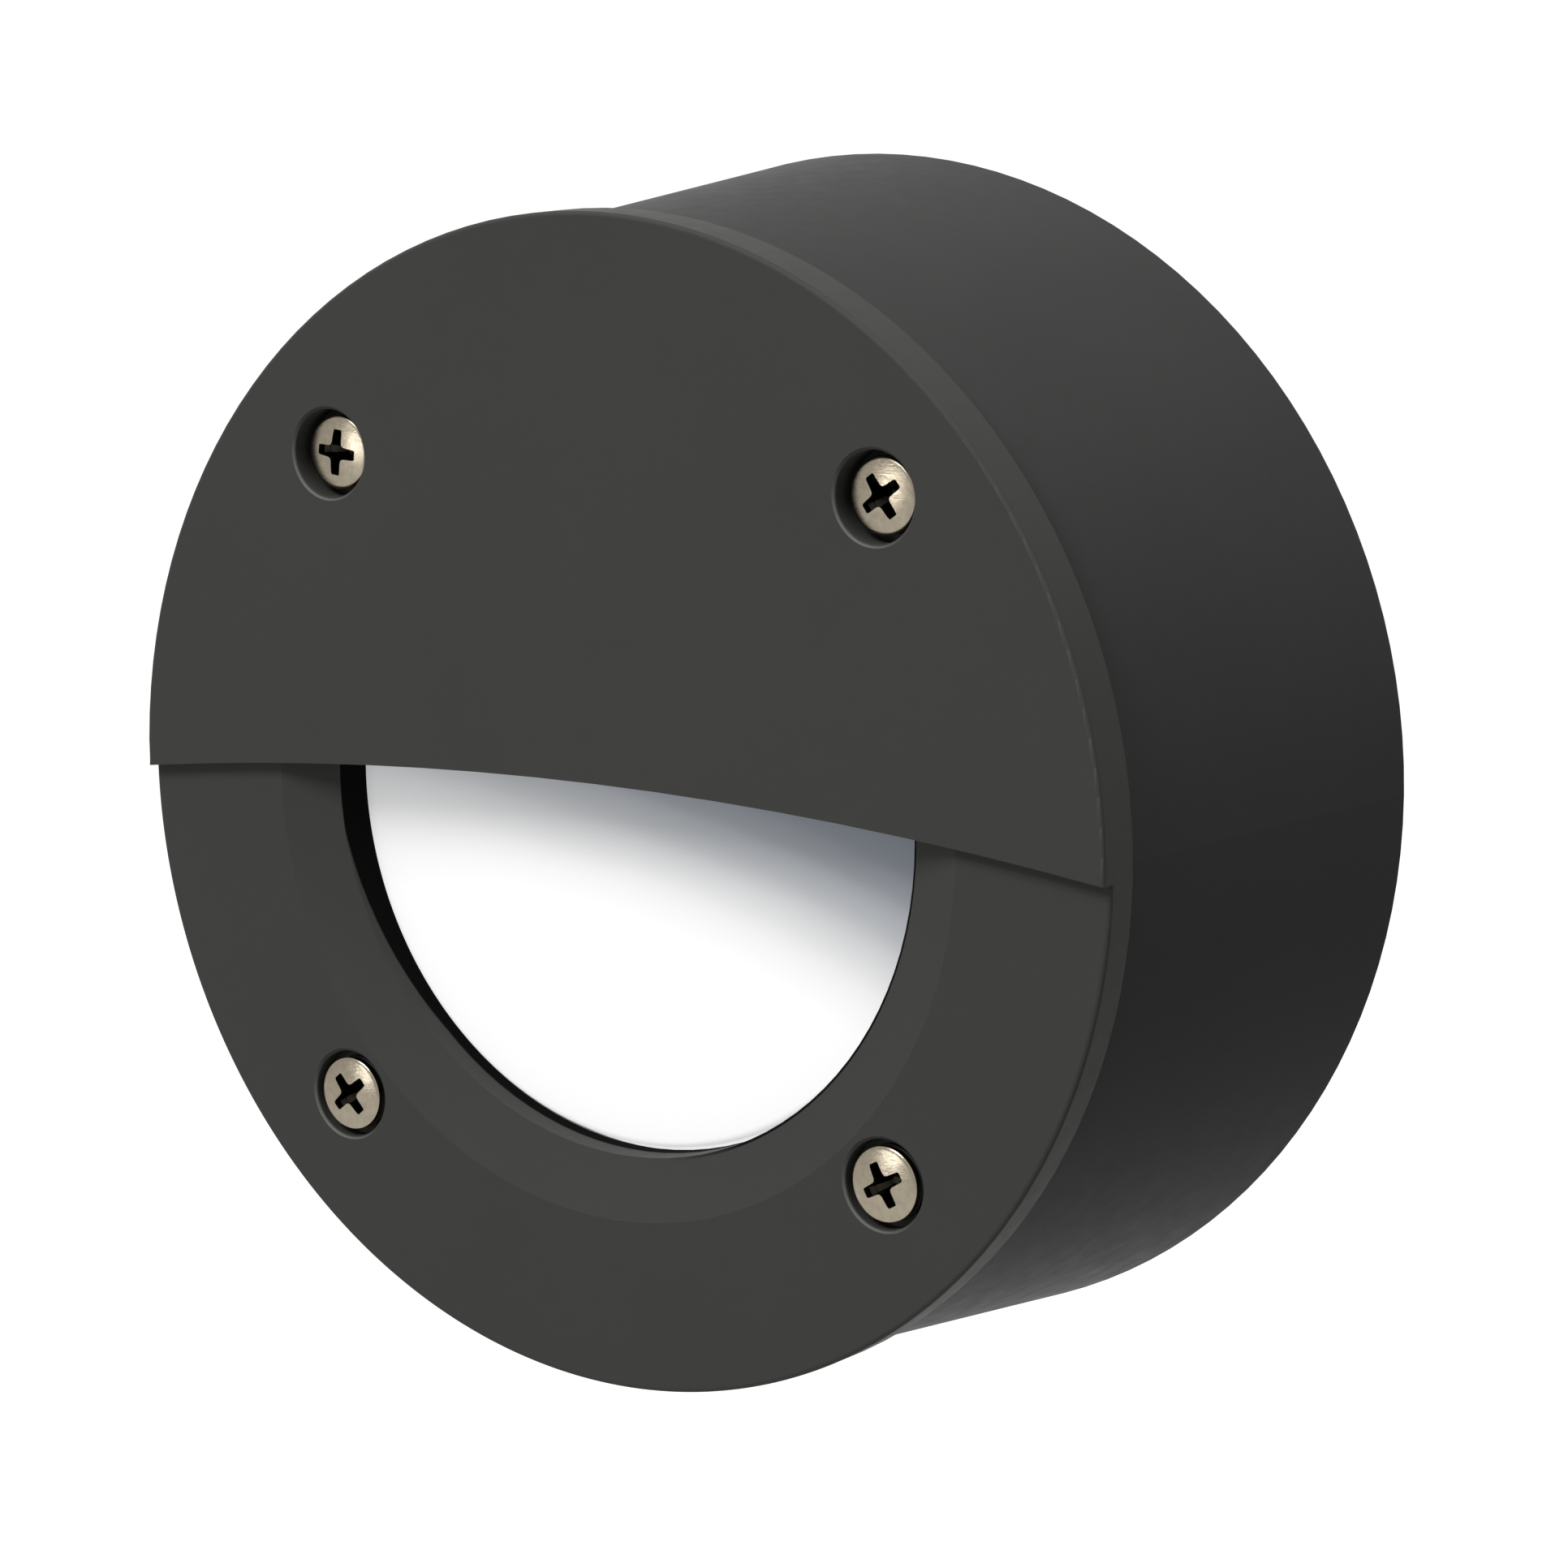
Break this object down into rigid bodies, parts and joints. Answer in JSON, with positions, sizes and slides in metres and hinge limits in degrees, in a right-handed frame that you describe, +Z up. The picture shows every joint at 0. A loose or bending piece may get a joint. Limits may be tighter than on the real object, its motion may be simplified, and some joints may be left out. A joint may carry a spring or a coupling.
{
  "type": "marker light",
  "caption": "Round outdoor wall light: a tapered drum, a face plate whose upper half is a visor over a deep-set opal lens, face screws in wells and a twist-lock lamp.",
  "frame": {"origin": "centre of the flat back, in the plane of the wall", "axes": "x to the right and z up as seen from the front, and the light stands out of the wall towards -y"},
  "size_m": [0.1308, 0.056, 0.1308],
  "materials": {
    "dark_resin": "fine moulded texture, charcoal",
    "dark_resin_face": "fine moulded texture, charcoal",
    "foam": "closed-cell foam",
    "seal_rubber": "smooth",
    "grey_rubber": "smooth silicone",
    "brass": "turned",
    "spring_bronze": "stamped strip",
    "pale_resin": "moulded",
    "white_resin": "moulded",
    "zinc_steel": "zinc plated",
    "nickel_pins": "nickel plated",
    "brown_insulation": "extruded",
    "blue_insulation": "extruded",
    "lamp_resin": "moulded",
    "board_white": "solder mask",
    "lamp_opal": "opal",
    "opal_lens": "opal, lit from behind",
    "stainless": "cold-headed stainless steel"
  },
  "bodies": {
    "housing": {"housing": "dark_resin", "wall_gasket": "foam", "cable_grommet": "seal_rubber", "threaded_inserts": "brass", "cover_gasket": "grey_rubber", "terminal_block": "pale_resin", "terminal_clamps": "brass", "terminal_screws": "zinc_steel", "terminal_fixing_screw": "zinc_steel", "lampholder_base": "white_resin", "lampholder_body": "white_resin", "lampholder_contacts": "spring_bronze", "lampholder_screws": "zinc_steel", "lead_brown": "brown_insulation", "lead_blue": "blue_insulation"},
    "lamp": {"lamp_base": "lamp_resin", "lamp_pins": "nickel_pins", "led_board": "board_white", "lamp_cover": "lamp_opal"},
    "cover": {"cover": "dark_resin_face", "diffuser": "opal_lens", "diffuser_seal": "grey_rubber", "diffuser_ring": "pale_resin", "ring_screws": "zinc_steel"},
    "washer_upper_left": {"washer_upper_left": "seal_rubber"},
    "screw_upper_left": {"screw_upper_left": "stainless"},
    "washer_upper_right": {"washer_upper_right": "seal_rubber"},
    "screw_upper_right": {"screw_upper_right": "stainless"},
    "washer_lower_left": {"washer_lower_left": "seal_rubber"},
    "screw_lower_left": {"screw_lower_left": "stainless"},
    "washer_lower_right": {"washer_lower_right": "seal_rubber"},
    "screw_lower_right": {"screw_lower_right": "stainless"}
  },
  "joints": [
    {"name": "cover_off", "type": "slide", "parent": "housing", "child": "cover", "axis": [0, -1, 0], "range_m": [0, 0.08]},
    {"name": "lamp_twist", "type": "hinge", "parent": "housing", "child": "lamp", "pos_m": [0, 0, 0], "axis": [0, -1, 0], "range_deg": [0, 15]},
    {"name": "screw_upper_left_travel", "type": "slide", "parent": "cover", "child": "washer_upper_left", "axis": [0, -1, 0], "range_m": [0, 0.008]},
    {"name": "screw_upper_left_turn", "type": "hinge", "parent": "washer_upper_left", "child": "screw_upper_left", "pos_m": [-0.03536, 0, 0.03536], "axis": [0, -1, 0], "range_deg": [0, 4115]},
    {"name": "screw_upper_right_travel", "type": "slide", "parent": "cover", "child": "washer_upper_right", "axis": [0, -1, 0], "range_m": [0, 0.008]},
    {"name": "screw_upper_right_turn", "type": "hinge", "parent": "washer_upper_right", "child": "screw_upper_right", "pos_m": [0.03536, 0, 0.03536], "axis": [0, -1, 0], "range_deg": [0, 4115]},
    {"name": "screw_lower_left_travel", "type": "slide", "parent": "cover", "child": "washer_lower_left", "axis": [0, -1, 0], "range_m": [0, 0.008]},
    {"name": "screw_lower_left_turn", "type": "hinge", "parent": "washer_lower_left", "child": "screw_lower_left", "pos_m": [-0.03536, 0, -0.03536], "axis": [0, -1, 0], "range_deg": [0, 4115]},
    {"name": "screw_lower_right_travel", "type": "slide", "parent": "cover", "child": "washer_lower_right", "axis": [0, -1, 0], "range_m": [0, 0.008]},
    {"name": "screw_lower_right_turn", "type": "hinge", "parent": "washer_lower_right", "child": "screw_lower_right", "pos_m": [0.03536, 0, -0.03536], "axis": [0, -1, 0], "range_deg": [0, 4115]}
  ],
  "couplings": [
    {"joint": "screw_upper_left_turn", "follows": "screw_upper_left_travel", "rad_per_m": 8976},
    {"joint": "screw_upper_right_turn", "follows": "screw_upper_right_travel", "rad_per_m": 8976},
    {"joint": "screw_lower_left_turn", "follows": "screw_lower_left_travel", "rad_per_m": 8976},
    {"joint": "screw_lower_right_turn", "follows": "screw_lower_right_travel", "rad_per_m": 8976}
  ]
}
